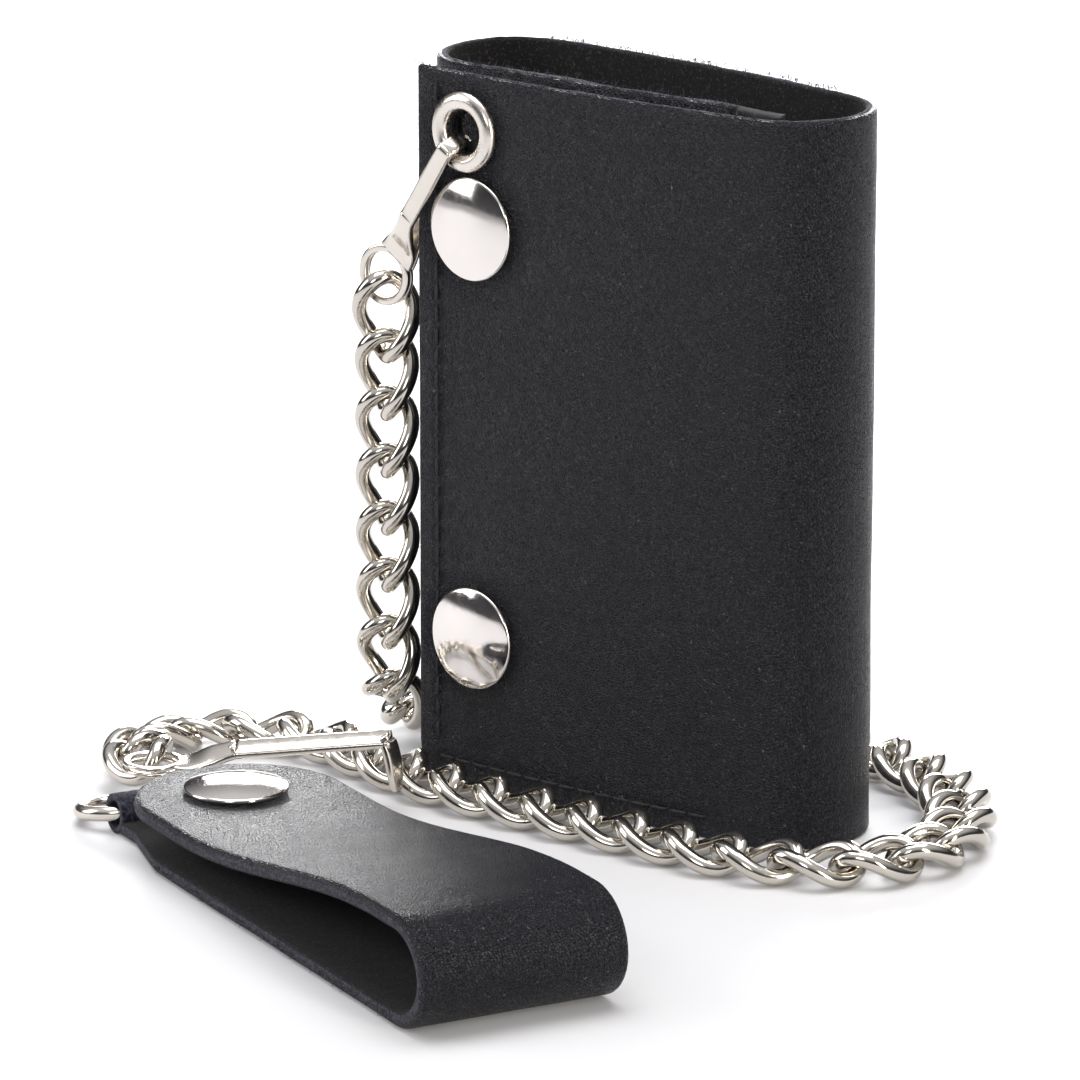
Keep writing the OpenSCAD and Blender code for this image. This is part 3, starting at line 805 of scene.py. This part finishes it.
def make_strap():
    """The belt loop in one strip: tongue, fold, base and the narrow tab."""
    line = strap_line()
    total = length_of(line)
    stations = edge_spaced(total, 1.3, (0, 0.05, 0.15, 0.35, 0.7, 1.3))
    place_on, left = resample(line, stations)
    top_run = length_of(line[:TOP_STEPS])
    across = edge_spaced(STRAP_W, 1.6) / STRAP_W

    def widths(i):
        low, high = strap_sides(place_on[i][0], stations[i] < top_run + FOLD_HALF)
        return low + across * (high - low)

    def place(i, y, depth):
        # the line runs tip to fold to tab, so its right-hand side is the hollow of the loop
        x, z = place_on[i] - left[i] * depth
        return in_loop((x, y, z))

    def dent(p):
        local = LOOP_TURN.transposed() @ (Vector(p) - LOOP_PLACE)
        d = math.hypot(local.x - SNAP_X, local.y)
        return 0.35 * math.exp(-(max(d - CAP_R, 0) / 1.6) ** 2) if local.z > 6 else 0.0

    strap = leather_shell("belt_loop_strap", stations, place, widths, STRAP_T, [GRAIN, FLESH, EDGE],
                          None, fuzz=0.2, rim=0.8, dent=dent)
    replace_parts(strap, "loop_base", "loop_fold", "loop_tongue")
    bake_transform(strap)
    edges = [(in_loop((x, side * STRAP_W / 2, tongue_top(x) - 1.2)), LOOP_TURN @ Vector((0, side, 0)))
             for x in np.linspace(-8, FOLD_X, 60) for side in (-1, 1)]
    fibres("tongue_fibres", edges, "tongue", 420, 0.6)
    low = [(in_loop((x, -STRAP_W / 2, 1.2)), LOOP_TURN @ Vector((0, -1, 0.2)))
           for x in np.linspace(-6, FOLD_X, 60)]
    low += [(in_loop((x, TAB_Y - TAB_W / 2 + 0.5, 1.4)), LOOP_TURN @ Vector((-1, -1, 0.3)))
            for x in np.linspace(TAB_END, -16, 12)]
    fibres("strap_base_fibres", low, "belt_loop", 480, 0.7)


make_strap()
snap_top = in_loop((SNAP_X, 0, tongue_top(SNAP_X) - 0.12))
strap_cap = revolve("strap_snap_cap", cap_profile(CAP_R, CAP_H), snap_top, (0, 0, 1), CAP_METAL, "tongue")
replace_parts(strap_cap, "loop_cap")


def make_keeper():
    """The tab's rolled end, which holds the ring."""
    verts = []
    sides, rows = 40, np.linspace(-TAB_W / 2, TAB_W / 2, 9)
    for r in (KEEPER_R, KEEPER_BORE):
        for y in rows:
            for k in range(sides):
                t = 2 * math.pi * k / sides
                wob = r + (0.18 * noise.noise(Vector((k / 3, y, r))) - 0.1 if r == KEEPER_R else 0.05)
                verts.append(in_loop((TAB_END - KEEPER_BORE + wob * math.cos(t), TAB_Y + y,
                                      KEEPER_R + wob * math.sin(t))))
    count = len(rows)
    faces = ring_faces(count, sides) + ring_faces(count, sides, count * sides)
    for j in (0, count - 1):
        for k in range(sides):
            m = (k + 1) % sides
            a, b = j * sides, (count + j) * sides
            faces.append((a + k, a + m, b + m, b + k))
    add_mesh("ring_keeper", verts, faces, [EDGE], "belt_loop")


make_keeper()


# ---- clips ----

EYE_R, EYE_BORE, EYE_T, PETAL_W = 4.6, 3.4, 0.7, 5.8


def smooth_path(points, steps=6):
    """A curve through the points, as a Catmull-Rom spline."""
    pts = [np.array(p, float) for p in points]
    out = []
    for i in range(len(pts) - 1):
        a, b, c, d = pts[max(i - 1, 0)], pts[i], pts[i + 1], pts[min(i + 2, len(pts) - 1)]
        for t in (k / steps for k in range(steps)):
            out.append(0.5 * (2 * b + (c - a) * t + (2 * a - 5 * b + 4 * c - d) * t ** 2
                              + (3 * b - a - 3 * c + d) * t ** 3))
    return out + [pts[-1]]


def clip_half(node, eye, aim, normal, reach, kink, rise, hook, width, bar=1.15, roll=0):
    """One half of a sister-hook clip: a rounded eye, a flat bar that cranks off the eye's plane,
    and a hook that turns back. eye is the eye's centre, aim the bar's direction, and roll is the
    bar's turn in degrees about its own length beyond the eye."""
    x, z = Vector(aim).normalized(), Vector(normal).normalized()
    turn = Matrix((x, z.cross(x), z)).transposed()
    put = lambda p: tuple(Vector(eye) + turn @ Vector(p))
    mid, half = (EYE_R + EYE_BORE) / 2, (EYE_R - EYE_BORE) / 2
    rings, sides = 64, 16
    verts, faces = [], ring_faces(rings, sides, closed=True)
    for i in range(rings):
        a = 2 * math.pi * i / rings
        for k in range(sides):
            t = 2 * math.pi * k / sides
            r = mid + half * math.copysign(abs(math.cos(t)) ** 0.75, math.cos(t))
            verts.append(put((r * math.cos(a), r * math.sin(a),
                              EYE_T / 2 * math.copysign(abs(math.sin(t)) ** 0.75, math.sin(t)))))
    line = smooth_path([(EYE_R - 1, 0), (EYE_R + 1.2, 0.04 * kink), (EYE_R + 3.8, 0.45 * kink),
                        (EYE_R + 7.4, kink), (EYE_R + 9.4, kink + (rise - kink) * 0.1), (reach - 4.4, rise),
                        (reach - 3.2, rise - 0.03 * hook), (reach - 2.3, rise - 0.42 * hook),
                        (reach - 1.8, rise - hook)])
    start, count = len(verts), 20
    for i, p in enumerate(line):
        ahead, behind = line[min(i + 1, len(line) - 1)], line[max(i - 1, 0)]
        along = (ahead - behind) / np.linalg.norm(ahead - behind)
        s = i / (len(line) - 1)
        out = min(max((p[0] - EYE_R + 1) / 8, 0), 1)
        petal = (PETAL_W - width) * (1 - out * out * (3 - 2 * out))
        w = (width + petal) * (1.1 - 0.2 * s) * (1 - 0.4 * max(0, s - 0.93) / 0.07)
        lean = math.radians(roll) * min(1, out * 1.5)
        thick = (EYE_T + (bar - EYE_T) * min(1, 4 * s)) * (1 - 0.4 * max(0, s - 0.93) / 0.07)
        for k in range(count):
            t = 2 * math.pi * k / count
            u = w / 2 * math.copysign(abs(math.cos(t)) ** 0.6, math.cos(t))
            v = thick / 2 * math.copysign(abs(math.sin(t)) ** 0.6, math.sin(t))
            u, v = u * math.cos(lean) - v * math.sin(lean), u * math.sin(lean) + v * math.cos(lean)
            verts.append(put((p[0] - along[1] * v, u, p[1] + along[0] * v)))
    faces += ring_faces(len(line), count, start)
    faces.append(tuple(start + k for k in range(count)))
    faces.append(tuple(start + (len(line) - 1) * count + k for k in reversed(range(count))))
    clip = add_mesh(node + "_bar", verts, faces, [CLIP_METAL], body_of(node))
    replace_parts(clip, node)


WALLET_EYE, BELT_EYE = Vector((-48, -6.85, 73.5)), Vector((-60.996, -45.22, 5.673))
HALF_GAP = 0.45
wallet_aim = (EYELET[0] - WALLET_EYE.x, 0, EYELET[1] - WALLET_EYE.z)
wallet_reach = Vector(wallet_aim).length
clip_half("wallet_clip_front", WALLET_EYE - Vector((0, HALF_GAP, 0)), wallet_aim, (0, -1, 0),
          reach=wallet_reach, kink=3.6, rise=5.3, hook=3.1, width=2.8)
clip_half("wallet_clip_rear", WALLET_EYE + Vector((0, HALF_GAP, 0)), wallet_aim, (0, -1, 0),
          reach=wallet_reach, kink=0, rise=0, hook=-2.1, width=2.6, bar=0.7)
belt_aim = (24.5, 14.2, 0)
clip_half("belt_clip_upper", BELT_EYE + Vector((0, 0, HALF_GAP)), belt_aim, (0, 0, 1),
          reach=37.5, kink=2.2, rise=4.6, hook=7.6, width=3.6, bar=1.4, roll=24)
clip_half("belt_clip_lower", BELT_EYE - Vector((0, 0, HALF_GAP)), belt_aim, (0, 0, 1),
          reach=30, kink=-2.6, rise=-3.9, hook=0.3, width=3.2, bar=0.9)


# ---- CAD pieces that keep their shape ----

METALS = {"loop_ring": CLIP_METAL, "snap_sockets": EYELET_METAL, "snap_studs": EYELET_METAL,
          "eyelet_washer": EYELET_METAL, "loop_socket": EYELET_METAL, "loop_stud": EYELET_METAL}
for node, metal in METALS.items():
    obj = frame["nodes"][node]
    obj.data.materials.clear()
    obj.data.materials.append(metal)
    weld = obj.modifiers.new("weld", "WELD")
    weld.merge_threshold = 1e-5
    bevel = obj.modifiers.new("soft_edges", "BEVEL")
    bevel.width, bevel.segments, bevel.limit_method = 0.00024, 3, "ANGLE"
    bevel.harden_normals = True
    for face in obj.data.polygons:
        face.use_smooth = True
